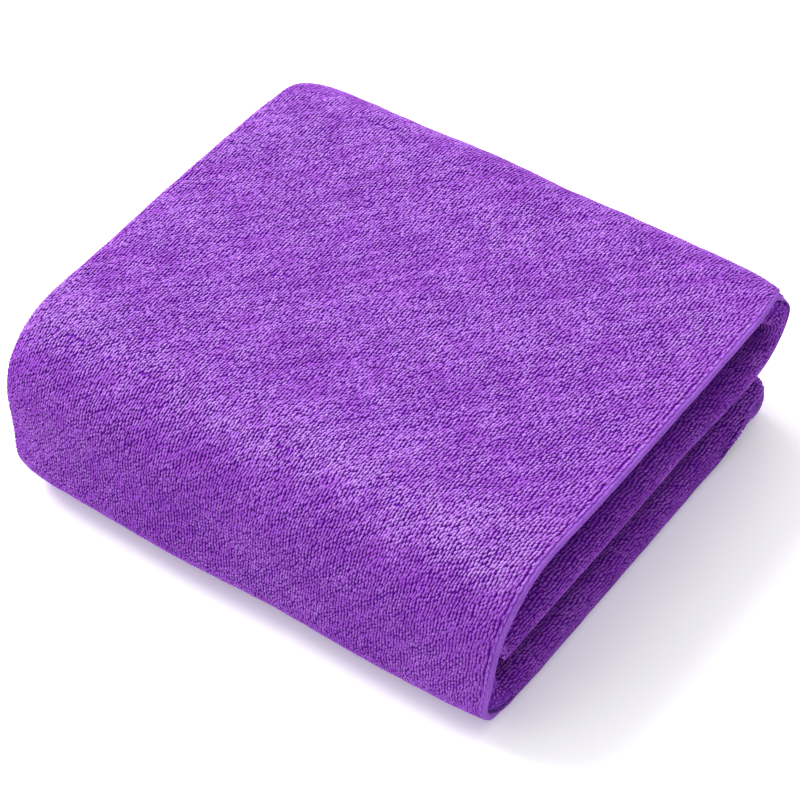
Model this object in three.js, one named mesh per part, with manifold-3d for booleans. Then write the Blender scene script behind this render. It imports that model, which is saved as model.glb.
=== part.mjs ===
// A quick dry towel, folded and lying flat. Millimetres, +Z up, origin under the middle of its box.
//
// The towel is one sheet of terry cloth with a narrow tape sewn round its four edges. It is folded
// three times:
//   1. in half across its width, so that ply A lies on ply B, with the fold at the left (-X) and
//      both long edges at the right (+X);
//   2. in half along its length, which makes a pack of four plies: A, B, B, A;
//   3. the pack is wound in three panels: bottom panel, front fold, top panel, back fold and a
//      middle panel whose ends lie hidden behind the front fold.
// Every piece follows the pack's path, a curve in the YZ plane, at the distance of its own ply.

import * as THREE from 'three';
import { mergeVertices } from 'three/addons/utils/BufferGeometryUtils.js';
import Module from 'manifold-3d';

// ---- driving dimensions ------------------------------------------------------------------------

// cloth
const towelWidth = 300;
const towelLength = 750;
const clothThickness = 2.4; // pile on both faces included
const clothCore = 0.7; // ground fabric where the pile stops, under the tape
const plyGap = 0.35; // between plies that lie on each other

// folded block: its depth follows from the towel's length
const lowerGap = 6; // between the bottom and the middle panel
const upperGap = 8; // between the middle and the top panel
const frontLean = 12; // degrees: the front wall runs outwards as it comes down
const shoulderInside = 14.4; // inside radius where the top turns into the front wall
const toeInside = 1.4; // inside radius where the front wall turns under
const freeEndGap = 4; // from the middle panel's ends to the inside of the shoulder
const bottomFoldRecess = 8; // how far the bottom panel stops short of the back

// edge tape and its seam
const tapeWidth = 2.6;
const tapeThickness = 0.35;
const threadWidth = 0.5;
const threadHeight = 0.35;
const clearance = 0.3; // between pieces that touch
const foldSoftness = 1.0; // rounding of the doubled cloth at its side fold

const degreesPerFacet = 15; // of every bend
const overrun = 1; // how far a solid that cuts runs past the piece that it cuts

// ---- sizes that follow ---------------------------------------------------------------------------

const foldedWidth = towelWidth / 2;
const plyPitch = clothThickness + plyGap;
const offsetA = 1.5 * plyPitch; // ply A's distance from the pack's path, on either side
const offsetB = 0.5 * plyPitch;
const packThickness = 4 * clothThickness + 3 * plyGap;
const height = 3 * packThickness + lowerGap + upperGap;

const left = -foldedWidth / 2;
const right = foldedWidth / 2;
const bottomLevel = packThickness / 2;
const middleLevel = bottomLevel + packThickness + lowerGap;
const topLevel = height - packThickness / 2;

// through the cloth, from the middle of a ply outwards
const pileHalf = clothThickness / 2;
const coreHalf = clothCore / 2;
const edgeRoom = coreHalf + clearance; // the ground fabric's edge with its clearance
const tapeHalf = edgeRoom + tapeThickness;

// across the edge, from the outside in: tape, seam thread, pile
const coreMargin = tapeThickness + clearance;
const seamMargin = tapeWidth + clearance;
const pileMargin = seamMargin + threadWidth + clearance;

// ---- the pack's path -----------------------------------------------------------------------------

const rad = THREE.MathUtils.degToRad;

// A point of the path, with the unit vector to the outer side of the winding.
function pathPoint(y, z, heading) {
  return { y, z, outY: Math.sin(heading), outZ: -Math.cos(heading) };
}

// Points on an arc that turns left from one heading to the next about (y, z).
function turn(y, z, radius, fromDegrees, toDegrees) {
  const points = [];
  const steps = Math.ceil((toDegrees - fromDegrees) / degreesPerFacet);
  for (let i = 0; i <= steps; i += 1) {
    const heading = rad(THREE.MathUtils.lerp(fromDegrees, toDegrees, i / steps));
    points.push(pathPoint(y + radius * Math.sin(heading), z - radius * Math.cos(heading), heading));
  }
  return points;
}

// The path's radii at the four bends, and the height at which each bend ends.
const halfPack = packThickness / 2;
const shoulderMid = shoulderInside + halfPack;
const toeMid = toeInside + halfPack;
const backMid = (topLevel - middleLevel) / 2;
const wallHeading = 270 - frontLean;
const toeZ = bottomLevel + toeMid;
const shoulderZ = topLevel - shoulderMid;
const toeEndZ = toeZ - toeMid * Math.cos(rad(wallHeading));
const shoulderEndZ = shoulderZ - shoulderMid * Math.cos(rad(wallHeading));
const wallRise = shoulderEndZ - toeEndZ;

// The same bends' places behind the front of the block.
const toeFromFront = toeMid + halfPack;
const shoulderFromFront = toeFromFront + wallRise * Math.tan(rad(frontLean))
  + (toeMid - shoulderMid) * Math.sin(rad(wallHeading));
const freeEndFromFront = shoulderFromFront - shoulderInside + freeEndGap;
const backBendFromBack = backMid + halfPack;
const bottomFoldFromBack = bottomFoldRecess + halfPack;

// Half of the towel's length lies along the path, which crosses the block's depth three times.
const turnedLength = backMid * rad(180) + shoulderMid * rad(wallHeading - 180)
  + toeMid * rad(360 - wallHeading);
const wallLength = wallRise / Math.cos(rad(frontLean));
const shortOfDepth = freeEndFromFront + shoulderFromFront + toeFromFront
  + 2 * backBendFromBack + bottomFoldFromBack;
const foldedDepth = (towelLength / 2 - turnedLength - wallLength + shortOfDepth) / 3;

const front = -foldedDepth / 2;
const back = foldedDepth / 2;
const toeY = front + toeFromFront;
const shoulderY = front + shoulderFromFront;
const freeEndY = front + freeEndFromFront;
const backY = back - backBendFromBack;
const bottomFoldY = back - bottomFoldFromBack;

// From the free ends of the middle panel, less a margin, round to the fold at the bottom back.
function packPath(margin) {
  return [
    pathPoint(freeEndY + margin, middleLevel, 0),
    ...turn(backY, middleLevel + backMid, backMid, 0, 180),
    ...turn(shoulderY, shoulderZ, shoulderMid, 180, wallHeading),
    ...turn(toeY, toeZ, toeMid, wallHeading, 360),
    pathPoint(bottomFoldY, bottomLevel, 0),
  ];
}

// One side of a doubled sheet: along the path at +offset, round the bottom fold, back at -offset.
function hairpinLine(path, offset) {
  const outer = path.map((p) => [p.y + offset * p.outY, p.z + offset * p.outZ]);
  const inner = path.map((p) => [p.y - offset * p.outY, p.z - offset * p.outZ]);
  const bend = turn(bottomFoldY, bottomLevel, offset, 0, 180).slice(1, -1);
  return [...outer, ...bend.map((p) => [p.y, p.z]), ...inner.reverse()];
}

// ---- solids --------------------------------------------------------------------------------------

const wasm = await Module();
wasm.setup();

function solidOf(geometry) {
  const bare = geometry.clone();
  bare.deleteAttribute('normal');
  bare.deleteAttribute('uv');
  const merged = mergeVertices(bare);
  return new wasm.Manifold(new wasm.Mesh({
    numProp: 3,
    vertProperties: new Float32Array(merged.attributes.position.array),
    triVerts: new Uint32Array(merged.index.array),
  }));
}

// The band between two distances from the path, from one X to another.
function hairpinSolid(margin, nearOffset, farOffset, fromX, toX, softness = 0) {
  const path = packPath(margin);
  const outline = [...hairpinLine(path, farOffset), ...hairpinLine(path, nearOffset).reverse()];
  const shape = new THREE.Shape(outline.map(([y, z]) => new THREE.Vector2(y, z)));
  const geometry = new THREE.ExtrudeGeometry(shape, {
    depth: toX - fromX - 2 * softness,
    bevelEnabled: softness > 0,
    bevelThickness: softness,
    bevelSize: softness,
    bevelOffset: -softness,
    bevelSegments: 2,
    curveSegments: 1,
  });
  const alongX = new THREE.Matrix4().makeBasis(
    new THREE.Vector3(0, 1, 0),
    new THREE.Vector3(0, 0, 1),
    new THREE.Vector3(1, 0, 0),
  );
  geometry.applyMatrix4(alongX);
  geometry.translate(fromX + softness, 0, 0);
  return solidOf(geometry);
}

function boxSolid(fromX, toX, fromY, toY, fromZ, toZ) {
  const geometry = new THREE.BoxGeometry(toX - fromX, toY - fromY, Math.abs(toZ - fromZ));
  geometry.translate((fromX + toX) / 2, (fromY + toY) / 2, (fromZ + toZ) / 2);
  return solidOf(geometry);
}

// A sheet that is doubled over at the left fold, seen at the free end: ply A and ply B joined by a
// wall. side is +1 for the pair that ends under the middle panel and -1 for the pair on top of it.
// outset and inset are how far the sheet reaches to its outer and inner face.
function doubledSheet(side, outset, inset, fromY, toY, toX) {
  const zA = middleLevel - side * offsetA;
  const zB = middleLevel - side * offsetB;
  const foldX = left + clothThickness / 2;
  const whole = boxSolid(foldX - outset, toX, fromY, toY, zA - side * outset, zB + side * outset);
  const hollow = boxSolid(foldX + inset, toX + overrun, fromY - overrun, toY + overrun,
    zA + side * inset, zB - side * inset);
  return whole.subtract(hollow);
}

const group = new THREE.Group();

function addPiece(name, solid, material) {
  const mesh = solid.getMesh();
  const geometry = new THREE.BufferGeometry();
  geometry.setAttribute('position', new THREE.BufferAttribute(mesh.vertProperties, 3));
  geometry.setIndex(new THREE.BufferAttribute(mesh.triVerts, 1));
  geometry.computeVertexNormals();
  const piece = new THREE.Mesh(geometry, material);
  piece.name = name;
  group.add(piece);
}

const terry = () => new THREE.MeshStandardMaterial({ color: '#8a40c0', roughness: 0.95, metalness: 0 });
const tape = () => new THREE.MeshStandardMaterial({ color: '#9660d2', roughness: 0.7, metalness: 0 });
const thread = () => new THREE.MeshStandardMaterial({ color: '#8f52cb', roughness: 0.6, metalness: 0 });

// ---- terry cloth ---------------------------------------------------------------------------------

function terryCloth() {
  const doubled = hairpinSolid(pileMargin, offsetB - pileHalf, offsetA + pileHalf,
    left, right - pileMargin, foldSoftness);
  const betweenPlies = hairpinSolid(0, offsetB + pileHalf, offsetA - pileHalf,
    left + clothThickness, right);
  const foldX = left + clothThickness / 2;
  const coreA = hairpinSolid(coreMargin, offsetA - coreHalf, offsetA + coreHalf,
    foldX, right - coreMargin);
  const coreB = hairpinSolid(coreMargin, offsetB - coreHalf, offsetB + coreHalf,
    foldX, right - coreMargin);
  let cloth = doubled.subtract(betweenPlies).add(coreA).add(coreB);
  for (const side of [1, -1]) {
    cloth = cloth.add(doubledSheet(side, coreHalf, coreHalf,
      freeEndY + coreMargin, freeEndY + pileMargin + foldSoftness, left + pileMargin));
  }
  return cloth;
}

addPiece('terry_cloth', terryCloth(), terry());

// ---- side tapes: folded over the two long edges, at the right ------------------------------------

function sideTape(offset) {
  const whole = hairpinSolid(0, offset - tapeHalf, offset + tapeHalf, right - tapeWidth, right);
  const slot = hairpinSolid(-overrun, offset - edgeRoom, offset + edgeRoom,
    right - tapeWidth - overrun, right - tapeThickness);
  return whole.subtract(slot);
}

addPiece('side_tape_a', sideTape(offsetA), tape());
addPiece('side_tape_b', sideTape(offsetB), tape());

// ---- side seams: one thread on each face of the cloth, along the tape ----------------------------

function sideThread(offset, face) {
  const threadTop = edgeRoom + threadHeight;
  const inside = face > 0 ? offset + edgeRoom : offset - threadTop;
  const outside = face > 0 ? offset + threadTop : offset - edgeRoom;
  return hairpinSolid(pileMargin, inside, outside,
    right - seamMargin - threadWidth, right - seamMargin);
}

addPiece('side_thread_a_outer', sideThread(offsetA, 1), thread());
addPiece('side_thread_a_inner', sideThread(offsetA, -1), thread());
addPiece('side_thread_b_outer', sideThread(offsetB, 1), thread());
addPiece('side_thread_b_inner', sideThread(offsetB, -1), thread());

// ---- end tapes and their seams: over the two short edges, doubled with the cloth -----------------

function endTape(side) {
  const toX = right - tapeWidth - clearance;
  const whole = doubledSheet(side, tapeHalf, tapeHalf, freeEndY, freeEndY + tapeWidth, toX);
  const slot = doubledSheet(side, edgeRoom, edgeRoom,
    freeEndY + tapeThickness, freeEndY + tapeWidth + overrun, toX + overrun);
  return whole.subtract(slot);
}

function endThread(side, face) {
  const threadTop = edgeRoom + threadHeight;
  const outset = face > 0 ? threadTop : -edgeRoom;
  const inset = face > 0 ? -edgeRoom : threadTop;
  return doubledSheet(side, outset, inset,
    freeEndY + seamMargin, freeEndY + seamMargin + threadWidth, right - pileMargin);
}

for (const [side, end] of [[1, 'lower'], [-1, 'upper']]) {
  addPiece(`end_tape_${end}`, endTape(side), tape());
  addPiece(`end_thread_${end}_outer`, endThread(side, 1), thread());
  addPiece(`end_thread_${end}_inner`, endThread(side, -1), thread());
}

export default group;
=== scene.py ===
import math

import bpy
import numpy as np
from mathutils import Matrix, Vector


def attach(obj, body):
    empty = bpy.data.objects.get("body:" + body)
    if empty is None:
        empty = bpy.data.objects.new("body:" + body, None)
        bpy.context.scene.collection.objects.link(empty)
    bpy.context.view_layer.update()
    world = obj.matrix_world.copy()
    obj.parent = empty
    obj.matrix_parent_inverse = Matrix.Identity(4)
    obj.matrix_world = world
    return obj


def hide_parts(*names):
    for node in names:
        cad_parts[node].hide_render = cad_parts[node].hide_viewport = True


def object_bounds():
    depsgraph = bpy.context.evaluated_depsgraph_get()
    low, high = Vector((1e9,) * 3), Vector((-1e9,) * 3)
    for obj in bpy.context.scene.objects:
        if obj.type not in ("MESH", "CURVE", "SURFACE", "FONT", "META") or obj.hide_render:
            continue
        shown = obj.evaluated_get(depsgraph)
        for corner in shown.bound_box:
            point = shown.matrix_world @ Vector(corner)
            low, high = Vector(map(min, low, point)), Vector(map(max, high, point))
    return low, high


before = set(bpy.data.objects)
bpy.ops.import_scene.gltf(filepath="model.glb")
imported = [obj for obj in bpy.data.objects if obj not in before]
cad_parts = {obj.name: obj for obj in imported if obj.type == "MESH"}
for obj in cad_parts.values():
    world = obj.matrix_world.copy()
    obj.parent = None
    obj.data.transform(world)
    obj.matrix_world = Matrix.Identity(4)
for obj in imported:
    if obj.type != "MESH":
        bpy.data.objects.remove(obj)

cad_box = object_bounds()

# ---- ground fabric -------------------------------------------------------------------------------
# The towel's ground is one thin knitted sheet, 300 by 750 mm, that carries the pile on both faces.
# It is doubled at the left (ply A outside, ply B inside), doubled again end to end, and the four
# plies are then wound: middle panel, back bend, top panel, front wall, toe and bottom panel.

mm = 0.001
towel_width, towel_length = 300 * mm, 750 * mm
cloth_thickness = 2.4 * mm
ply_pitch = 2.75 * mm
ground_half = 0.42 * mm
shoulder_inside = 14.4 * mm
toe_inside = 1.4 * mm
wall_lean = math.radians(12)
free_end_gap = 0.8 * mm
bottom_fold_recess = 8 * mm
lower_gap = 6 * mm

(left, front, bottom), (right, back, top) = cad_box
height = top - bottom
pack = 4 * cloth_thickness + 3 * (ply_pitch - cloth_thickness)
offset_a, offset_b = 1.5 * ply_pitch, 0.5 * ply_pitch
side_fold = ply_pitch / 2
side_fold_x = left + cloth_thickness / 2 + side_fold

bottom_level = bottom + pack / 2
middle_level = bottom_level + pack + lower_gap
top_level = top - pack / 2
shoulder_mid, toe_mid = shoulder_inside + pack / 2, toe_inside + pack / 2
back_mid = (top_level - middle_level) / 2
toe_y = front + toe_mid + pack / 2
wall_rise = (top_level - shoulder_mid + shoulder_mid * math.sin(wall_lean)
             - bottom_level - toe_mid - toe_mid * math.sin(wall_lean))
shoulder_y = toe_y + wall_rise * math.tan(wall_lean) + (shoulder_mid - toe_mid) * math.cos(wall_lean)
free_end_y = shoulder_y - shoulder_inside + free_end_gap
back_y = back - back_mid - pack / 2
bottom_fold_y = back - bottom_fold_recess - pack / 2

# The pack's middle line: (length, turn in radians) of each stretch, from the hidden free ends.
half_turn = math.pi
shoulder_turn = half_turn / 2 - wall_lean
toe_turn = half_turn - shoulder_turn
stretches = {
    "middle": (back_y - free_end_y, 0),
    "back": (back_mid * half_turn, half_turn),
    "top": (back_y - shoulder_y, 0),
    "shoulder": (shoulder_mid * shoulder_turn, shoulder_turn),
    "wall": (wall_rise / math.cos(wall_lean), 0),
    "toe": (toe_mid * toe_turn, toe_turn),
    "bottom": (bottom_fold_y - toe_y, 0),
}
reach = {}
line_step = 0.1 * mm
run, heading = [], []
at, facing = 0.0, 0.0
for name, (length, turn) in stretches.items():
    count = round(length / line_step)
    for i in range(count):
        run.append(at + (i + 0.5) / count * length)
        heading.append(facing + (i + 0.5) / count * turn)
    reach[name] = (at, at + length)
    at, facing = at + length, facing + turn
pack_length = at
run, heading = np.array(run), np.array(heading)
steps = np.gradient(run)
line_y = free_end_y + np.cumsum(np.cos(heading) * steps) - np.cos(heading) * steps / 2
line_z = middle_level + np.cumsum(np.sin(heading) * steps) - np.sin(heading) * steps / 2


def smooth(values, times):
    """The values with every corner rounded off."""
    for _ in range(times):
        padded = np.concatenate([values[:1], values, values[-1:]])
        values = (padded[:-2] + 2 * padded[1:-1] + padded[2:]) / 4
    return values


# One line along the whole doubled length: out along the pack, round the bottom fold and back.
fold_step = 4
bends = np.radians(np.arange(fold_step / 2, 180, fold_step))
fold_heading = 2 * half_turn + bends
whole = {
    "y": np.concatenate([line_y, np.full(len(bends), bottom_fold_y), line_y[::-1]]),
    "z": np.concatenate([line_z, np.full(len(bends), bottom_level), line_z[::-1]]),
    "out_y": np.concatenate([np.sin(heading), np.sin(fold_heading), -np.sin(heading[::-1])]),
    "out_z": np.concatenate([-np.cos(heading), -np.cos(fold_heading), np.cos(heading[::-1])]),
}


def lengths_at(offset):
    """How far along the doubled length each point of the whole line is, at that offset."""
    y = whole["y"] + offset * whole["out_y"]
    z = whole["z"] + offset * whole["out_z"]
    return np.concatenate([[0], np.cumsum(np.hypot(np.diff(y), np.diff(z)))])


# The line's length round the bottom fold, and the passes that blend each place into the next.
bottom_fold_length = 13 * mm
blend_passes = 1200


def along_both(outer, inner):
    """A value along the whole line from its values at places on the outer and the inner half."""
    whole_length = 2 * pack_length + bottom_fold_length
    places = [p for p, _ in outer] + [whole_length - p for p, _ in inner]
    values = [v for _, v in outer] + [v for _, v in inner]
    middle = pack_length + bottom_fold_length * (np.arange(len(bends)) + 0.5) / len(bends)
    whole_run = np.concatenate([run, middle, whole_length - run[::-1]])
    return smooth(np.interp(whole_run, places, values), blend_passes)


def place(name, share):
    """The distance along the pack at a share of the named stretch."""
    return reach[name][0] + share * (reach[name][1] - reach[name][0])


# How far each ply's open edge stops short of the right, and how far it curls over the ends of the
# plies under it: the outer ply stands proud on the top and the front, the inner one curls down
# over the middle and the bottom panel.
curl_radius = 3.85 * mm
curl_full = math.radians(158)
a_short = along_both(
    [(0, 9.5 * mm), (place("middle", 0.9), 9.5 * mm), (place("back", 0.3), 7.5 * mm),
     (place("back", 0.62), 4.5 * mm), (place("back", 0.85), 1 * mm), (place("top", 0.02), 0),
     (place("wall", 0.6), 0),
     (place("toe", 0.6), 1 * mm), (place("bottom", 0.04), 4.5 * mm), (place("bottom", 1), 5.5 * mm)],
    [(place("bottom", 1), 5.2 * mm), (place("bottom", 0.1), 5 * mm), (place("toe", 0.5), 5.5 * mm),
     (place("wall", 0.5), 8 * mm), (place("shoulder", 0.5), 12 * mm), (place("top", 0.25), 12.5 * mm),
     (place("top", 0.04), 8 * mm), (place("back", 0.7), 4 * mm), (place("middle", 0.95), 4.2 * mm),
     (place("middle", 0.7), 6.5 * mm), (0, 6.5 * mm)])
a_curl = along_both(
    [(0, 0), (place("bottom", 0.85), 0), (place("bottom", 1), 0.35)],
    [(place("bottom", 1), 0.42), (place("bottom", 0.92), 0.62), (place("bottom", 0.78), 1), (0, 1)])
b_short = along_both(
    [(0, 12 * mm), (place("middle", 0.9), 12 * mm), (place("back", 0.5), 11 * mm),
     (place("top", 0.1), 10 * mm), (place("toe", 0.8), 10 * mm), (place("bottom", 0.2), 11 * mm)],
    [(place("bottom", 0.2), 11 * mm), (place("toe", 0.5), 11 * mm), (place("wall", 0.5), 13 * mm),
     (place("top", 0.1), 14 * mm), (place("back", 0.5), 12 * mm), (place("middle", 0.9), 12 * mm),
     (0, 12 * mm)])


def stations(offset, where):
    """The whole line's frame at given distances along it, measured at that offset."""
    total = lengths_at(offset)
    found = {k: np.interp(where, total, v) for k, v in whole.items()}
    size = np.hypot(found["out_y"], found["out_z"])
    found["out_y"], found["out_z"] = found["out_y"] / size, found["out_z"] / size
    found["a_short"] = np.interp(where, total, a_short)
    found["a_curl"] = np.interp(where, total, a_curl) * curl_full
    found["b_short"] = np.interp(where, total, b_short)
    found["on"] = np.interp(where, total, np.arange(len(total)))
    return found


def a_end(spots):
    """Ply A's width from the side fold to its open edge."""
    return right - spots["a_short"] - side_fold_x + curl_radius * spots["a_curl"]


def b_end(spots):
    """Ply B's width from the side fold to its open edge."""
    return right - spots["b_short"] - side_fold_x


fold_width = math.pi * side_fold

# How far the slumped block moves from the plain fold, at the place that each name says.
broad_ripple, fine_ripple = 0.35 * mm, 0.25 * mm
shoulder_fill, shoulder_depth, shoulder_reach = 2.2 * mm, 7 * mm, 11 * mm
toe_fill, toe_twist = 0.7 * mm, 1.4 * mm
back_hollow = 1.8 * mm
gap_plump = 7 * mm
right_slant, left_tuck, left_bulge = 3.4 * mm, 4.2 * mm, 1.4 * mm
corner_in, corner_forward = 1.6 * mm, 1.2 * mm
free_corner_reach = 4 * mm


def slump(points):
    """The whole block's soft shape: corners draw in, the right end slants, the faces undulate."""
    x, y, z = points[..., 0], points[..., 1], points[..., 2]
    across, deep, up = x / right, y / back, np.clip((z - bottom) / height, 0, 1)
    to_right, to_left = np.clip(across, 0, 1), np.clip(-across, 0, 1)
    to_back, to_front = np.clip(deep, 0, 1), np.clip(-deep, 0, 1)

    # The front and the back draw in towards both ends, and ripple.
    y_new = y * (1 - (0.032 + 0.003 * up) * np.abs(across) ** 9)
    y_new = y_new + broad_ripple * np.sin(x * 47 + 1.3) * np.abs(deep) ** 3
    y_new = y_new + fine_ripple * np.sin(x * 118 + 4 * up) * np.abs(deep) ** 3

    # The top drops towards every edge, and has shallow waves.
    drop = 1 - 0.045 * np.abs(across) ** 9 - 0.012 * np.abs(deep) ** 6
    drop = drop - 0.022 * to_back ** 10 * (1 - across ** 2)
    wave = (0.28 * mm * np.sin(x * 62 + y * 38) + 0.22 * mm * np.sin(y * 96 - x * 41 + 2)
            + 0.14 * mm * np.sin(x * 171 + y * 143 + 1) - 0.3 * mm)
    z_new = bottom + (z - bottom) * drop + wave * up ** 1.5

    # The shoulder is fuller to the left, and the toe is twisted: full at the left, drawn in at the right.
    from_shoulder = np.hypot(y - front - shoulder_depth, z - top + shoulder_depth)
    boxy = shoulder_fill * np.clip(0.5 - across, 0, 1.5) / 1.5
    boxy = boxy * np.exp(-(from_shoulder / shoulder_reach) ** 2 / 2)
    y_new, z_new = y_new - boxy, z_new + 0.6 * boxy
    toe_bulge = (toe_fill - toe_twist * np.sin(2.4 * across - 0.5)) * np.clip(1 - up / 0.5, 0, 1)
    y_new = y_new - toe_bulge * to_front ** 6

    # The back is hollow in the middle, and the back right corner is lifted by the plump folds in it.
    y_new = y_new - back_hollow * (1 - across ** 2) * to_back ** 6 * up
    plump = gap_plump * np.exp(-((up - 0.36) / 0.22) ** 2 / 2) * np.clip(up * 6, 0, 1)
    z_new = z_new + plump * to_right ** 2 * to_back ** 2

    # The foot of the right end slants in, the foot of the left end is tucked under.
    slant = right_slant * to_right ** 3 * (1 - up) ** 1.15
    tuck = left_tuck * to_left ** 6 * (1 - up) ** 1.2
    tuck = tuck - left_bulge * to_left ** 4 * (1 - deep ** 2) * up
    corner = np.abs(across) ** 12 * to_back ** 8
    x_new = x - slant + tuck - corner_in * corner * np.sign(across)
    y_new = y_new - corner_forward * corner * (across > 0)

    # The right corner of the hidden free end reaches forward, against the front wall.
    free = np.clip((x - right) / (6 * mm) + 1.6, 0, 1)
    free = free * np.clip((y - free_end_y) / (1.5 * mm) + 1.5, 0, 1)
    free = free * np.clip(1 - (y - free_end_y) / (15 * mm), 0, 1)
    free = free * np.exp(-((z - middle_level - 2 * mm) / (6 * mm)) ** 2)
    y_new = y_new - free_corner_reach * free
    return np.stack([x_new, y_new, z_new], axis=-1)


def cloth_point(spots, width, lift):
    """Points on the cloth at a width from the side fold: above 0 on ply A, below it round the fold
    and on ply B. They lie lift above its middle, and come with its normal and the way to its edge."""
    flat = right - spots["a_short"] - side_fold_x
    zero = np.zeros(np.broadcast(spots["y"], width).shape)
    width = width + zero
    x, off = side_fold_x + np.minimum(width, flat + zero), offset_a + zero
    curled = np.clip((width - flat) / curl_radius, 0, math.pi)
    x = x + curl_radius * np.sin(curled)
    off = off - curl_radius * (1 - np.cos(curled))
    n_x, n_off, t_x, t_off = np.sin(curled), np.cos(curled), np.cos(curled), -np.sin(curled)
    turn = np.clip(-width / side_fold, 0, math.pi)
    folded = width < 0
    x = np.where(folded, side_fold_x - side_fold * np.sin(turn), x)
    off = np.where(folded, (offset_a + offset_b) / 2 + side_fold * np.cos(turn), off)
    n_x, n_off = np.where(folded, -np.sin(turn), n_x), np.where(folded, np.cos(turn), n_off)
    t_x, t_off = np.where(folded, np.cos(turn), t_x), np.where(folded, np.sin(turn), t_off)
    x = np.where(width < -fold_width, side_fold_x - fold_width - width, x)
    off = off + lift * n_off
    x = x + lift * n_x
    points = np.stack([x, spots["y"] + off * spots["out_y"], spots["z"] + off * spots["out_z"]], axis=-1)
    normal = np.stack([n_x, n_off * spots["out_y"], n_off * spots["out_z"]], axis=-1)
    edge = np.stack([t_x, t_off * spots["out_y"], t_off * spots["out_z"]], axis=-1)
    return slump(points), normal, edge


def new_piece(name, points, faces, material, uv=None):
    """A mesh object at the origin, smooth, with its faces turned outwards already."""
    mesh = bpy.data.meshes.new(name)
    mesh.from_pydata(np.asarray(points).reshape(-1, 3).tolist(), [], faces)
    if uv is not None:
        layer = mesh.uv_layers.new(name="Cloth")
        corner = np.zeros(len(mesh.loops), np.int32)
        mesh.loops.foreach_get("vertex_index", corner)
        layer.data.foreach_set("uv", np.asarray(uv).reshape(-1, 2)[corner].astype(np.float32).ravel())
    mesh.materials.append(material)
    mesh.polygons.foreach_set("use_smooth", [True] * len(mesh.polygons))
    mesh.update()
    piece = bpy.data.objects.new(name, mesh)
    bpy.context.scene.collection.objects.link(piece)
    return piece


def grid_faces(rows, columns):
    """Quads of a grid of points, rows by columns, with the columns running round a closed ring."""
    faces = []
    for i in range(rows - 1):
        for j in range(columns):
            k = (j + 1) % columns
            faces.append((i * columns + j, i * columns + k, (i + 1) * columns + k, (i + 1) * columns + j))
    return faces


def ring_caps(rows, columns):
    """The two end faces of such a grid."""
    first = tuple(range(columns))[::-1]
    last = tuple((rows - 1) * columns + j for j in range(columns))
    return [first, last]


def srgb(red, green, blue):
    """A colour mixed as 0 to 255 values, for a shader's socket."""
    def linear(c):
        c /= 255
        return c / 12.92 if c <= 0.04045 else ((c + 0.055) / 1.055) ** 2.4
    return (linear(red), linear(green), linear(blue), 1)


class Finish:
    """A material under construction: add() makes a node and joins its inputs."""

    def __init__(self, name):
        self.material = bpy.data.materials.new(name)
        self.material.use_nodes = True
        self.nodes, self.links = self.material.node_tree.nodes, self.material.node_tree.links
        self.surface = self.nodes["Principled BSDF"]

    def add(self, kind, settings=None, **inputs):
        node = self.nodes.new(kind)
        for key, value in (settings or {}).items():
            setattr(node, key, value)
        for key, value in inputs.items():
            self.set(node, key, value)
        return node

    def set(self, node, key, value):
        key = int(key[1:]) if key[0] == "_" else key.replace("_", " ")
        if isinstance(value, bpy.types.NodeSocket):
            self.links.new(value, node.inputs[key])
        else:
            node.inputs[key].default_value = value

    def ramp(self, factor, stops):
        node = self.add("ShaderNodeValToRGB", Fac=factor)
        band = node.color_ramp
        while len(band.elements) < len(stops):
            band.elements.new(0.5)
        for element, (position, colour) in zip(band.elements, stops):
            element.position, element.color = position, colour
        return node.outputs["Color"]

    def noise(self, vector, scale, detail=3.0, roughness=0.5):
        return self.add("ShaderNodeTexNoise", Vector=vector, Scale=scale, Detail=detail,
                        Roughness=roughness).outputs["Fac"]

    def carried(self, name):
        return self.add("ShaderNodeAttribute", {"attribute_name": name}).outputs["Fac"]

    def math(self, operation, *values):
        numbered = {f"_{i}": value for i, value in enumerate(values)}
        return self.add("ShaderNodeMath", {"operation": operation}, **numbered).outputs[0]

    def finish(self, colour, roughness, bump_height, distance, sheen, sheen_tint):
        """Joins colour, roughness and bump to the cloth's surface, and sets its soft sheen."""
        bump = self.add("ShaderNodeBump", Height=bump_height, Distance=distance, Strength=0.6)
        self.set(self.surface, "Base Color", colour)
        self.set(self.surface, "Roughness", roughness)
        self.set(self.surface, "Normal", bump.outputs["Normal"])
        self.surface.inputs["Sheen Weight"].default_value = sheen
        self.surface.inputs["Sheen Roughness"].default_value = 0.45
        self.surface.inputs["Sheen Tint"].default_value = sheen_tint
        self.surface.inputs["Specular IOR Level"].default_value = 0.12
        return self.material


sheen_violet = srgb(222, 190, 255)

ground_finish = Finish("ground_knit")
where = ground_finish.add("ShaderNodeTexCoord").outputs["Object"]
cloth_uv = ground_finish.add("ShaderNodeUVMap", {"uv_map": "Cloth"}).outputs["UV"]
knit = ground_finish.add("ShaderNodeTexWave", {"wave_type": "BANDS", "bands_direction": "X"},
                         Vector=cloth_uv, Scale=95.0, Distortion=2.0, Detail=2.0).outputs["Fac"]
tufty = ground_finish.noise(where, 900.0)
mixed = ground_finish.math("MULTIPLY", knit, tufty)
# The ground is painted the dark violet of the shade between the loops, where it shows: painted shade.
ground_shade_violets = [(0.1, srgb(94, 2, 150)), (0.35, srgb(106, 14, 164)), (0.7, srgb(124, 36, 176))]
ground_colour = ground_finish.ramp(mixed, ground_shade_violets)
ground_material = ground_finish.finish(ground_colour, 0.92, mixed, 0.0005, 0.25, sheen_violet)

# A radian of bend gets as many stations as this length of flat cloth.
bend_share = 59.13 * mm


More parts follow.
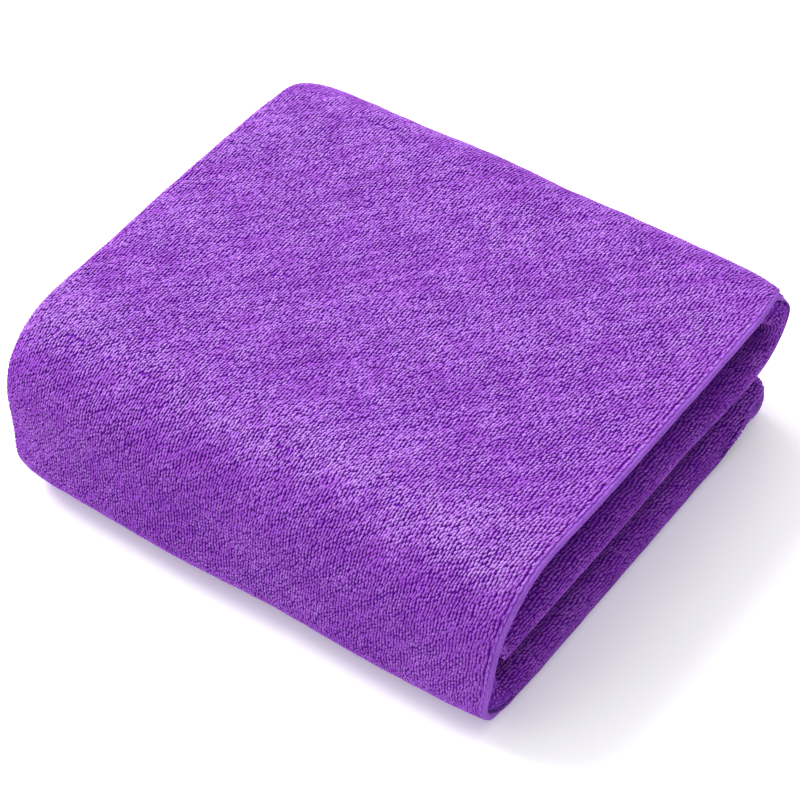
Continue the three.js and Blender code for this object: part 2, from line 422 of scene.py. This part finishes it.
def spread_along(pieces):
    """Distances along the whole line, at ply A's middle: coarse on the flats, fine in the bends."""
    total = lengths_at(offset_a)
    turn = np.abs(np.gradient(np.unwrap(np.arctan2(whole["out_z"], whole["out_y"])), total))
    density = smooth(1 + bend_share * turn, 200)
    count = np.concatenate([[0], np.cumsum((density[1:] + density[:-1]) / 2 * np.diff(total))])
    return np.interp(np.linspace(0, count[-1], pieces), count, total)


along = spread_along(300)
cloth_margin = 0.4 * mm
along = np.clip(along, cloth_margin, along[-1] - cloth_margin)
line = {k: v[:, None] for k, v in stations(offset_a, along).items()}
# Across a ply the points lie closest at the open edge, where the cloth curls.
from_edge = np.concatenate([[0, 0.4, 0.9], np.arange(1.6, 14.5, 0.9), np.arange(17, 145, 3.6)]) * mm
edge_shares = 1 - from_edge / (towel_width / 2)
edge_shares = np.concatenate([edge_shares[edge_shares > 0.01], [0]])[::-1]
ply_a = (a_end(line) - cloth_margin) * edge_shares[None, :]
fold_steps = -fold_width * np.arange(1, 7)[None, :] / 6 + 0 * line["y"]
ply_b = -fold_width - (b_end(line) - cloth_margin) * edge_shares[None, 1:]
widths = np.concatenate([ply_b[:, ::-1], fold_steps[:, ::-1], ply_a], axis=1)
outer = cloth_point(line, widths, ground_half)[0]
inner = cloth_point(line, widths, -ground_half)[0]
ring = np.concatenate([outer, inner[:, ::-1]], axis=1)
rows, columns = ring.shape[:2]
uv = np.stack([(widths + towel_width / 2) / towel_width,
               np.broadcast_to(along[:, None] / towel_length, widths.shape)], axis=-1)
uv = np.concatenate([uv, uv[:, ::-1]], axis=1)
faces = grid_faces(rows, columns)
# The two short ends are closed by a strip of quads through the thickness of the sheet.
wide = columns // 2
for row, flip in ((0, True), (rows - 1, False)):
    for j in range(wide - 1):
        quad = (row * columns + j, row * columns + j + 1,
                row * columns + columns - 2 - j, row * columns + columns - 1 - j)
        faces.append(quad[::-1] if flip else quad)
ground = new_piece("ground_fabric", ring, faces, ground_material, uv)
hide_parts("terry_cloth")
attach(ground, "root")

# ---- pile ----------------------------------------------------------------------------------------
# The pile is short looped yarn, knitted into the ground in close ribs, so that each loop lies along
# its rib. On the top and the front it stops beside the binding; inside the folds it covers it.

rib_pitch = 0.8 * mm
loop_pitch = 0.95 * mm
loop_length, loop_width, loop_height = 1.7 * mm, 0.68 * mm, 0.84 * mm
loop_arch = 0.28 * mm
loop_lift = 0.66 * mm
loop_lean, loop_turn = math.radians(-12.5), math.radians(13)
pile_margin, covered_margin = 1.45 * mm, 0.05 * mm
cover_lift = 0.35 * mm
tape_width = 2.3 * mm

pile_finish = Finish("pile_loops")
where = pile_finish.add("ShaderNodeTexCoord").outputs["Object"]
tint, depth, painted_shade = pile_finish.carried("tint"), pile_finish.carried("depth"), pile_finish.carried("painted_shade")
# Painted shade and highlight: each loop is painted dark at its foot and pale at its tip, by its rise. Loops
# that are brushed flat get less of this painted shade, towards the shade that a loop has at this rise.
even_rise = 0.66
rise = pile_finish.math("SUBTRACT", pile_finish.carried("rise"), even_rise)
rise = pile_finish.math("MULTIPLY_ADD", rise, depth, even_rise)
yarn = pile_finish.noise(where, 3600.0, 3.0)
patches = pile_finish.noise(where, 55.0, 2.0)
shade = pile_finish.math("ADD", pile_finish.math("MULTIPLY", rise, 0.86),
                         pile_finish.math("MULTIPLY", tint, 0.14))
shade = pile_finish.math("ADD", shade, pile_finish.math("MULTIPLY", yarn, 0.24))
shade = pile_finish.math("ADD", shade, pile_finish.math("MULTIPLY", patches, 0.1))
# Painted shade: the loops are darkened by the shade painted along the line, least where it paints a
# highlight.
painted_shade_drop = pile_finish.math("MULTIPLY_ADD", painted_shade, 0.11, 0.2)
shade = pile_finish.math("SUBTRACT", shade, painted_shade_drop)
# The pile's violets run from the painted shade at a loop's foot to the painted highlight at its tip.
pile_violets = [(0.15, srgb(98, 2, 152)), (0.45, srgb(124, 34, 172)), (0.7, srgb(152, 80, 194)),
                (0.95, srgb(190, 142, 226))]
pile_colour = pile_finish.ramp(shade, pile_violets)
pile_material = pile_finish.finish(pile_colour, 0.95, yarn, 0.0004, 0.1, sheen_violet)


def node_tree(name, sockets):
    """An empty Geometry Nodes tree, the identifiers of its inputs, and a function that adds nodes."""
    tree = bpy.data.node_groups.new(name, "GeometryNodeTree")
    tree.interface.new_socket("Geometry", in_out="OUTPUT", socket_type="NodeSocketGeometry")
    named = {}
    for label, kind in {"Geometry": "NodeSocketGeometry", **sockets}.items():
        named[label] = tree.interface.new_socket(label, in_out="INPUT", socket_type=kind).identifier

    def add(kind, settings=None, **inputs):
        node = tree.nodes.new(kind)
        for key, value in (settings or {}).items():
            setattr(node, key, value)
        for key, value in inputs.items():
            socket = node.inputs[int(key[1:]) if key[0] == "_" else key.replace("_", " ")]
            if isinstance(value, bpy.types.NodeSocket):
                tree.links.new(value, socket)
            else:
                socket.default_value = value
        return node

    return tree, named, add


# A loop or a stitch is a small arched bead of yarn that dives into the cloth at both ends.
yarn_tree, yarn_inputs, add = node_tree("yarn_on_points", {
    "Length": "NodeSocketFloat", "Width": "NodeSocketFloat", "Height": "NodeSocketFloat",
    "Arch": "NodeSocketFloat", "Lean": "NodeSocketFloat", "Turn": "NodeSocketFloat",
    "Uneven": "NodeSocketFloat", "Seed": "NodeSocketInt", "Material": "NodeSocketMaterial"})
given = add("NodeGroupInput").outputs
bead = add("GeometryNodeMeshIcoSphere", Radius=1.0, Subdivisions=1).outputs["Mesh"]
corner = add("GeometryNodeInputPosition").outputs[0]
parts = add("ShaderNodeSeparateXYZ", Vector=corner).outputs


def calc(operation, *values):
    numbered = {f"_{i}": value for i, value in enumerate(values)}
    return add("ShaderNodeMath", {"operation": operation}, **numbered).outputs[0]


# The bead's rise runs from 0 at its foot to 1 at its top; the pile's material paints shade and highlight
# from it.
bead = add("GeometryNodeStoreNamedAttribute", {"data_type": "FLOAT", "domain": "POINT"},
           Geometry=bead, Name="rise", Value=calc("MULTIPLY_ADD", parts["Z"], 0.5, 0.5)).outputs[0]
half_length = calc("MULTIPLY", given["Length"], 0.5)
half_width = calc("MULTIPLY", given["Width"], 0.5)
half_height = calc("MULTIPLY", given["Height"], 0.5)
sunk = calc("MULTIPLY", calc("MULTIPLY", parts["X"], parts["X"]), given["Arch"])
shaped = add("ShaderNodeCombineXYZ", X=calc("MULTIPLY", parts["X"], half_length),
             Y=calc("MULTIPLY", parts["Y"], half_width),
             Z=calc("SUBTRACT", calc("MULTIPLY", parts["Z"], half_height), sunk)).outputs[0]
bead = add("GeometryNodeSetPosition", Geometry=bead, Position=shaped).outputs[0]
bead = add("GeometryNodeSetShadeSmooth", Geometry=bead, Shade_Smooth=True).outputs[0]


def carried(name, kind="FLOAT_VECTOR"):
    node = add("GeometryNodeInputNamedAttribute", {"data_type": kind}, Name=name)
    return node.outputs["Attribute"]


def random_value(low, high, salt):
    seed = calc("ADD", given["Seed"], float(salt))
    node = add("FunctionNodeRandomValue", {"data_type": "FLOAT"}, Seed=seed)
    for socket, value in ((node.inputs[2], low), (node.inputs[3], high)):
        if isinstance(value, bpy.types.NodeSocket):
            yarn_tree.links.new(value, socket)
        else:
            socket.default_value = value
    return node.outputs[1]


upright = add("FunctionNodeAlignRotationToVector", {"axis": "Z"}, Vector=carried("facing")).outputs[0]
aimed = add("FunctionNodeAlignRotationToVector", {"axis": "X", "pivot_axis": "Z"},
            Rotation=upright, Vector=carried("along")).outputs[0]
swing = add("FunctionNodeAxisAngleToRotation", Axis=(0, 0, 1),
            Angle=random_value(calc("SUBTRACT", given["Lean"], given["Turn"]),
                               calc("ADD", given["Lean"], given["Turn"]), 1)).outputs[0]
turned = add("FunctionNodeRotateRotation", {"rotation_space": "LOCAL"},
             Rotation=aimed, Rotate_By=swing).outputs[0]
more = calc("ADD", 1.0, given["Uneven"])
less = calc("SUBTRACT", 1.0, given["Uneven"])
size = carried("size", "FLOAT")
scale = add("ShaderNodeCombineXYZ", X=calc("MULTIPLY", size, random_value(less, more, 2)),
            Y=calc("MULTIPLY", size, random_value(less, more, 3)),
            Z=calc("MULTIPLY", carried("depth", "FLOAT"), random_value(less, 1.0, 4))).outputs[0]
beads = add("GeometryNodeInstanceOnPoints", Points=given["Geometry"], Instance=bead,
            Rotation=turned, Scale=scale).outputs[0]
beads = add("GeometryNodeStoreNamedAttribute", {"data_type": "FLOAT", "domain": "INSTANCE"},
            Geometry=beads, Name="tint", Value=random_value(0.0, 1.0, 5)).outputs[0]
beads = add("GeometryNodeRealizeInstances", Geometry=beads).outputs[0]
beads = add("GeometryNodeSetMaterial", Geometry=beads, Material=given["Material"]).outputs[0]
yarn_tree.links.new(beads, add("NodeGroupOutput").inputs[0])


def yarn_on(name, points, facing, along_yarn, size, depth, painted_shade, material, values):
    """Sets the yarn tree's beads on the points and returns them as one plain mesh object."""
    mesh = bpy.data.meshes.new(name + "_guide")
    mesh.vertices.add(len(points))
    mesh.vertices.foreach_set("co", points.astype(np.float32).ravel())
    for label, vectors in (("facing", facing), ("along", along_yarn)):
        layer = mesh.attributes.new(label, "FLOAT_VECTOR", "POINT")
        layer.data.foreach_set("vector", vectors.astype(np.float32).ravel())
    for label, numbers in (("size", size), ("depth", depth), ("painted_shade", painted_shade)):
        layer = mesh.attributes.new(label, "FLOAT", "POINT")
        layer.data.foreach_set("value", numbers.astype(np.float32))
    guide = bpy.data.objects.new(name + "_guide", mesh)
    bpy.context.scene.collection.objects.link(guide)
    modifier = guide.modifiers.new("yarn", "NODES")
    modifier.node_group = yarn_tree
    for label, value in {**values, "Material": material}.items():
        modifier[yarn_inputs[label]] = value
    bpy.context.view_layer.update()
    shown = guide.evaluated_get(bpy.context.evaluated_depsgraph_get())
    made = bpy.data.meshes.new_from_object(shown)
    made.name = name
    bpy.data.objects.remove(guide)
    bpy.data.meshes.remove(mesh)
    piece = bpy.data.objects.new(name, made)
    bpy.context.scene.collection.objects.link(piece)
    return piece


# Painted shade and highlight along the line: below 0 the pile is painted pale, a painted highlight on the
# top and the shoulder; above 0 it is painted dark, painted shade on the back bend, the front wall, the toe,
# the bottom and inside the folds.
painted_shade_along = along_both(
    [(0, 1.2), (place("back", 0.5), 0.6), (place("top", 0.05), -0.2), (place("top", 0.9), -0.1),
     (place("shoulder", 0.2), -0.7), (place("shoulder", 0.36), -0.6), (place("shoulder", 0.52), 0.7),
     (place("wall", 0.5), 0.5), (place("toe", 0.6), 0.7), (place("bottom", 1), 1.2)],
    [(place("bottom", 1), 1), (0, 1.2)])
# Where the pile covers the binding as well (1), and where the binding shows (0).
covered = along_both(
    [(0, 1), (place("back", 0.5), 1), (place("back", 0.8), 0), (place("toe", 0.7), 0),
     (place("bottom", 0.95), 0), (place("bottom", 1), 0.5)],
    [(place("bottom", 1), 1), (0, 1)])
# The pile on the underside of the rim gets the most painted shade.
painted_shade_under = 1.6
edge_zone = 9 * mm
rib_sway, loop_stray = 0.16 * mm, 0.08 * mm

# Ribs are counted from the side fold: half runs to the middle, full past the open edge. The rib at
# this width, beyond any other, is the one that follows the open edge.
half = (right - side_fold_x) / 2
full = right - side_fold_x + 12 * mm
edge_rib = 1.0

place_random = np.random.default_rng(41)
outer_half, inner_half = False, True


def pile_on(name, stretch, on_inner, ranges, face=1, seed=1, thin=1.0):
    """Loops on one face of ply A, between two places on one half of the line, on ranges of width
    from the side fold (below 0 is round the fold). Thin sets them wider apart, and longer."""
    total = lengths_at(offset_a + loop_lift * face)
    if stretch == "bottom fold":
        index = np.array([len(run) - 1, len(run) + len(bends)])
    else:
        index = np.searchsorted(run, [place(*stretch[0]), place(*stretch[1])])
    if on_inner:
        index = len(total) - 1 - index[::-1]
    index = np.clip(index, 0, len(total) - 1)
    start, stop = total[index[0]], total[index[1]]
    count = round((stop - start) / (loop_pitch * thin))
    found = []
    for low, high in ranges:
        ribs = [edge_rib] * (high == full) + list(np.arange(low, high, rib_pitch * thin))
        for number, rib in enumerate(ribs):
            at = start + (np.arange(count) + place_random.uniform(0, 1)) * (stop - start) / count
            at = at + place_random.uniform(-0.3, 0.3, count) * loop_pitch
            sway = rib_sway * np.sin(at * 900 + number * 0.7) + place_random.normal(0, loop_stray, count)
            spots = stations(offset_a + loop_lift * face, np.clip(at, start, stop))
            over = np.interp(spots["on"], np.arange(len(covered)), covered) if face > 0 else 0 * at
            edge_at = a_end(spots) - pile_margin + (pile_margin - covered_margin) * over
            if rib == edge_rib:
                width = edge_at
                keep = width > low
            else:
                width = rib + sway
                if rib < 0:
                    width = rib * fold_width / (math.pi * (side_fold + loop_lift)) + 0 * at
                keep = edge_at - width > 0.5 * rib_pitch
            room = edge_at - width
            raised = cover_lift * over * np.clip((tape_width - room) / (0.6 * mm), 0, 1)
            points, normal, _ = cloth_point(spots, width, (loop_lift + raised) * face)
            ribwise = np.stack([0 * at, -spots["out_z"], spots["out_y"]], axis=-1)

            # Loops are broader and flatter beside the edge, and the pile is brushed in patches.
            inland = np.clip(room / edge_zone + over, 0, 1)
            patchy = 0.03 * np.sin(at * 150 + rib * 210 + 2) + 0.03 * np.sin(at * 330 - rib * 170)
            brushed = np.sin(at * 330 + 2 * np.sin(rib * 190))
            brushed = brushed * np.sin(rib * 290 + 1.7 * np.sin(at * 170) + 1)
            brushed = np.clip(0.82 + 0.42 * brushed, 0.4, 1)
            size = 1.18 - 0.18 * inland + patchy
            depth = brushed * (0.62 + 0.38 * inland)
            # Each loop's painted shade or painted highlight comes from its place along the line; under the
            # rim it is painted shade.
            painted_shade = np.interp(spots["on"], np.arange(len(painted_shade_along)), painted_shade_along) if face > 0 else painted_shade_under + 0 * at
            found.append([part[keep] for part in (points, normal * face, ribwise, size, depth, painted_shade)])
    points, facing, ribwise, size, depth, painted_shade = (np.concatenate(part) for part in zip(*found))
    piece = yarn_on(name, points, facing, ribwise, size, depth, painted_shade, pile_material, {
        "Length": loop_length * thin, "Width": loop_width * thin, "Height": loop_height,
        "Arch": loop_arch, "Lean": loop_lean * face, "Turn": loop_turn, "Uneven": 0.2, "Seed": seed})
    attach(piece, "root")


fold_ribs = -math.pi * (side_fold + loop_lift)
all_ribs, left_ribs, right_ribs = [(0, full)], [(0, half)], [(half, full)]
round_fold = [(fold_ribs, 0)]
left_strip, right_strip = 22 * mm, right - side_fold_x - 33 * mm
near_left, near_right, between = [(0, left_strip)], [(right_strip, full)], [(left_strip, right_strip)]
rim_strip = [(right - side_fold_x - 14 * mm, full)]
whole_pack = (("middle", 0.0), ("bottom", 1.0))
top_panel = (("top", 0.0), ("shoulder", 0.25))
front_wall = (("shoulder", 0.25), ("toe", 0.8))
bottom_panel = (("toe", 0.8), ("bottom", 1.0))

pile_on("pile_top_left", top_panel, outer_half, left_ribs, seed=11)
pile_on("pile_top_right", top_panel, outer_half, right_ribs, seed=12)
pile_on("pile_front_left", front_wall, outer_half, left_ribs, seed=13)
pile_on("pile_front_right", front_wall, outer_half, right_ribs, seed=24)
pile_on("pile_back", (("back", 0.1), ("top", 0.0)), outer_half, all_ribs, seed=14)
pile_on("pile_under_left", bottom_panel, outer_half, left_ribs, seed=15, thin=1.5)
pile_on("pile_under_right", bottom_panel, outer_half, right_ribs, seed=16, thin=1.5)
pile_on("pile_bottom_fold", "bottom fold", outer_half, round_fold + all_ribs, seed=25)
pile_on("pile_side_fold_outer", whole_pack, outer_half, round_fold, seed=17)
pile_on("pile_side_fold_inner", whole_pack, inner_half, round_fold, seed=18)
pile_on("pile_gap_left", whole_pack, inner_half, near_left, seed=19, thin=1.3)
pile_on("pile_gap_right_low", (("shoulder", 0.0), ("bottom", 1.0)), inner_half, near_right, seed=20)
pile_on("pile_gap_right_high", (("middle", 0.0), ("shoulder", 0.0)), inner_half, near_right, seed=21)
pile_on("pile_gap_back", (("bottom", 0.7), ("bottom", 1.0)), inner_half, between, seed=26, thin=1.3)
pile_on("pile_middle_under", (("middle", 0.0), ("back", 0.1)), outer_half, near_left + near_right,
        seed=22, thin=1.3)
pile_on("pile_rim_underside", (("top", 0.05), ("toe", 0.2)), outer_half, rim_strip, face=-1, seed=23)

# ---- side bindings -------------------------------------------------------------------------------
# A narrow knitted tape is folded over each of the two long edges, which both lie at the right. On
# the outer ply it makes the pale rim that runs round the top, the front wall and the toe.

tape_thickness, tape_half = 0.3 * mm, 0.8 * mm
tape_girth = 10 * mm

tape_finish = Finish("edge_tape")
where = tape_finish.add("ShaderNodeTexCoord").outputs["Object"]
tape_uv = tape_finish.add("ShaderNodeUVMap", {"uv_map": "Cloth"}).outputs["UV"]
ribbing = tape_finish.add("ShaderNodeTexWave", {"wave_type": "BANDS", "bands_direction": "Y"},
                          Vector=tape_uv, Scale=520.0, Distortion=3.0, Detail=2.0).outputs["Fac"]
fibres = tape_finish.noise(where, 1800.0, 3.0)
wear = tape_finish.noise(where, 140.0, 2.0)
tape_shade = tape_finish.math("ADD", tape_finish.math("MULTIPLY", ribbing, 0.1),
                              tape_finish.math("MULTIPLY", fibres, 0.45))
tape_shade = tape_finish.math("ADD", tape_shade, tape_finish.math("MULTIPLY", wear, 0.35))
tape_violets = [(0.2, srgb(112, 50, 158)), (0.45, srgb(140, 80, 188)), (0.75, srgb(160, 106, 208))]
tape_colour = tape_finish.ramp(tape_shade, tape_violets)
tape_material = tape_finish.finish(tape_colour, 0.9, tape_shade, 0.0006, 0.05, sheen_violet)

# The tape's section, as (way out from the cloth's edge, height): round the outside, then back inside.
nose = np.radians(np.arange(90, -91, -22.5))
tape_profile = np.concatenate([
    [(-tape_width, tape_half * 0.9), (-tape_width * 0.6, tape_half)],
    np.stack([-tape_half * 0.7 + tape_half * 0.7 * np.cos(nose), tape_half * np.sin(nose)], axis=1),
    [(-tape_width * 0.6, -tape_half), (-tape_width, -tape_half * 0.9)],
    [(-tape_width, tape_thickness - tape_half), (-tape_thickness, tape_thickness - tape_half)],
    [(-tape_thickness, tape_half - tape_thickness), (-tape_width, tape_half - tape_thickness)]])


def band(name, centres, normals, edges, distance):
    """A folded tape whose section is swept along the cloth's edge."""
    points = (centres[:, None] + tape_profile[None, :, :1] * edges[:, None]
              + tape_profile[None, :, 1:] * normals[:, None])
    rows, columns = points.shape[:2]
    across_tape = np.linspace(0, tape_girth, columns)
    uv = np.stack(np.broadcast_arrays(across_tape[None, :], distance[:, None]), axis=-1)
    faces = grid_faces(rows, columns) + ring_caps(rows, columns)
    return new_piece(name, points, faces, tape_material, uv)


along_edge = spread_along(520)
edge_line = stations(offset_a, along_edge)
pucker = 0.05 * mm * np.sin(along_edge * 420) + 0.03 * mm * np.sin(along_edge * 1130 + 1)


def side_edge(ply, inset, spots):
    """Points down one ply's open edge, with the cloth's normal and the way out past the edge."""
    if ply == "a":
        return cloth_point(spots, a_end(spots) - inset, 0)
    points = cloth_point(spots, inset - fold_width - b_end(spots), 0)[0]
    level = 0 * spots["y"]
    normal = np.stack([level, spots["out_y"], spots["out_z"]], axis=-1)
    return points, normal, np.stack([level + 1, level, level], axis=-1)


side_tapes = {}
for ply in "ab":
    centres, normals, edges = side_edge(ply, 0, edge_line)
    centres = centres + normals * pucker[:, None]
    side_tapes[ply] = band(f"side_binding_{ply}", centres, normals, edges, along_edge)
    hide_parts(f"side_tape_{ply}")
    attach(side_tapes[ply], "root")

# ---- side seams ----------------------------------------------------------------------------------
# Each side binding is sewn down along its middle: a needle thread shows on the outer face of the
# cloth and a bobbin thread on the inner face, in a row of short stitches.

stitch_pitch = 2.4 * mm
stitch_length, stitch_width, stitch_height = 2.1 * mm, 0.34 * mm, 0.16 * mm
stitch_arch = 0.1 * mm
seam_inset, seam_start = 1.15 * mm, 4 * mm

thread_finish = Finish("sewing_thread")
where = thread_finish.add("ShaderNodeTexCoord").outputs["Object"]
twist = thread_finish.add("ShaderNodeTexWave", {"wave_type": "BANDS", "bands_direction": "DIAGONAL"},
                          Vector=where, Scale=900.0, Distortion=1.0, Detail=1.0).outputs["Fac"]
thread_colour = thread_finish.ramp(twist, [(0.1, srgb(136, 78, 186)), (0.8, srgb(162, 108, 212))])
thread_material = thread_finish.finish(thread_colour, 0.55, twist, 0.0001, 0.3, sheen_violet)


def stitches(name, points, facing, direction, seed, node):
    """One thread's row of stitches, in place of the frame's strip for it."""
    even = np.ones(len(points))
    piece = yarn_on(name, points, facing, direction, even, even, 0 * even, thread_material, {
        "Length": stitch_length, "Width": stitch_width, "Height": stitch_height,
        "Arch": stitch_arch, "Lean": 0.0, "Turn": math.radians(4), "Uneven": 0.06, "Seed": seed})
    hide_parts(node)
    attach(piece, "root")
    return piece


stitch_at = np.arange(seam_start, lengths_at(offset_a)[-1] - seam_start, stitch_pitch)
stitch_line = stations(offset_a, stitch_at)
seams = []
for ply in "ab":
    centres, normals, _ = side_edge(ply, seam_inset, stitch_line)
    direction = np.stack([0 * stitch_at, -stitch_line["out_z"], stitch_line["out_y"]], axis=-1)
    for side, face in (("outer", 1), ("inner", -1)):
        seams.append(stitches(f"side_seam_{ply}_{side}", centres + normals * face * tape_half,
                              normals * face, direction, 31 + len(seams), f"side_thread_{ply}_{side}"))

# ---- end bindings and their seams ----------------------------------------------------------------
# The two short edges have the same tape and seam. They lie together, hidden behind the front wall,
# doubled with the cloth at the side fold.

end_inset = 3 * mm
end_pieces = []
for end, at_end, step in (("lower", 0.0, 1), ("upper", lengths_at(offset_a)[-1], -1)):
    spot = {k: v[0] for k, v in stations(offset_a, np.array([at_end])).items()}
    across = np.concatenate([
        np.linspace(-fold_width - b_end(spot) + end_inset, -fold_width, 40)[:-1],
        np.linspace(-fold_width, 0, 9)[:-1],
        np.linspace(0, a_end(spot) - end_inset, 48)])
    spots = {k: v + 0 * across for k, v in spot.items()}
    centres, normals, edges = cloth_point(spots, across, 0)
    outwards = np.stack([0 * across, spots["out_z"], -spots["out_y"]], axis=-1) * step
    left_handed = np.cross(edges, normals)[0] @ outwards[0] > 0
    order = slice(None, None, -1) if left_handed else slice(None)
    tape = band(f"end_binding_{end}", centres[order], normals[order], outwards[order], across[order])
    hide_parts(f"end_tape_{end}")
    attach(tape, "root")
    end_pieces.append(tape)
    stitch_across = np.arange(across[0] + 2 * mm, across[-1] - 1 * mm, stitch_pitch)
    row_at = stations(offset_a, np.array([at_end + step * seam_inset]))
    row = {k: v[0] + 0 * stitch_across for k, v in row_at.items()}
    for side, face in (("outer", 1), ("inner", -1)):
        centres, normals, edges = cloth_point(row, stitch_across, face * tape_half)
        end_pieces.append(stitches(f"end_seam_{end}_{side}", centres, normals * face, edges,
                                   41 + len(end_pieces), f"end_thread_{end}_{side}"))

# ---- floor, light and camera ---------------------------------------------------------------------
# A pale floor, one broad soft light high on the left, a sky that is brighter on that side, and a
# camera above the front right corner.

floor_finish = Finish("pale_floor")
where = floor_finish.add("ShaderNodeTexCoord").outputs["Object"]
floor_grain = floor_finish.noise(where, 40.0)
floor_greys = [(0.3, (0.93, 0.93, 0.935, 1)), (0.7, (0.95, 0.95, 0.955, 1))]
floor_colour = floor_finish.ramp(floor_grain, floor_greys)
floor_material = floor_finish.finish(floor_colour, 0.9, floor_grain, 0.0001, 0.0, (1, 1, 1, 1))
floor_finish.surface.inputs["Emission Color"].default_value = (1, 1, 1, 1)
floor_finish.surface.inputs["Emission Strength"].default_value = 0.15
floor_half = 3.0
floor = new_piece("floor", [(-floor_half, -floor_half, bottom), (floor_half, -floor_half, bottom),
                            (floor_half, floor_half, bottom), (-floor_half, floor_half, bottom)],
                  [(0, 1, 2, 3)], floor_material)

key_data = bpy.data.lights.new("key_light", "AREA")
key_data.shape, key_data.size, key_data.energy = "DISK", 0.8, 16
key_light = bpy.data.objects.new("key_light", key_data)
bpy.context.scene.collection.objects.link(key_light)
key_light.location = (-0.72, 0.12, 0.82)
aim = Vector((0, 0, bottom + height / 2)) - key_light.location
key_light.rotation_euler = aim.to_track_quat("-Z", "Y").to_euler()

world = bpy.data.worlds.new("studio")
bpy.context.scene.world = world
world.use_nodes = True
sky = world.node_tree
direction = sky.nodes.new("ShaderNodeTexCoord").outputs["Generated"]
towards = sky.nodes.new("ShaderNodeVectorMath")
towards.operation = "DOT_PRODUCT"
towards.inputs[1].default_value = Vector((-0.62, 0.1, 0.78))
strength = sky.nodes.new("ShaderNodeMapRange")
strength.inputs["From Min"].default_value, strength.inputs["From Max"].default_value = -0.6, 1.0
strength.inputs["To Min"].default_value, strength.inputs["To Max"].default_value = 0.18, 1.46
sky.links.new(direction, towards.inputs[0])
sky.links.new(towards.outputs["Value"], strength.inputs["Value"])
sky.links.new(strength.outputs["Result"], sky.nodes["Background"].inputs["Strength"])
sky.nodes["Background"].inputs["Color"].default_value = (1, 1, 1, 1)
bpy.context.scene.view_settings.view_transform = "Standard"

view_azimuth, view_elevation, view_roll = math.radians(133.6), math.radians(47.13), math.radians(7.99)
aim_height = 19 * mm
view_right, view_down, view_distance = -0.15 * mm, -4.00 * mm, 639.1 * mm
view_scale = 3.27125
sensor_width = 36
forward = Vector((math.cos(view_elevation) * math.cos(view_azimuth),
                  math.cos(view_elevation) * math.sin(view_azimuth), -math.sin(view_elevation)))
level = forward.cross(Vector((0, 0, 1))).normalized()
down = forward.cross(level)
side_way = math.cos(view_roll) * level + math.sin(view_roll) * down
down_way = math.cos(view_roll) * down - math.sin(view_roll) * level
camera_data = bpy.data.cameras.new("camera")
camera = bpy.data.objects.new("camera", camera_data)
bpy.context.scene.collection.objects.link(camera)
eye = (Vector((0, 0, aim_height)) - view_right * side_way - view_down * down_way
       - view_distance * forward)
facing_view = Matrix((side_way, -down_way, -forward)).transposed()
camera.matrix_world = Matrix.Translation(eye) @ facing_view.to_4x4()
camera_data.sensor_width = sensor_width
camera_data.lens = sensor_width * view_scale
camera_data.clip_start, camera_data.clip_end = 0.01, 20
bpy.context.scene.camera = camera
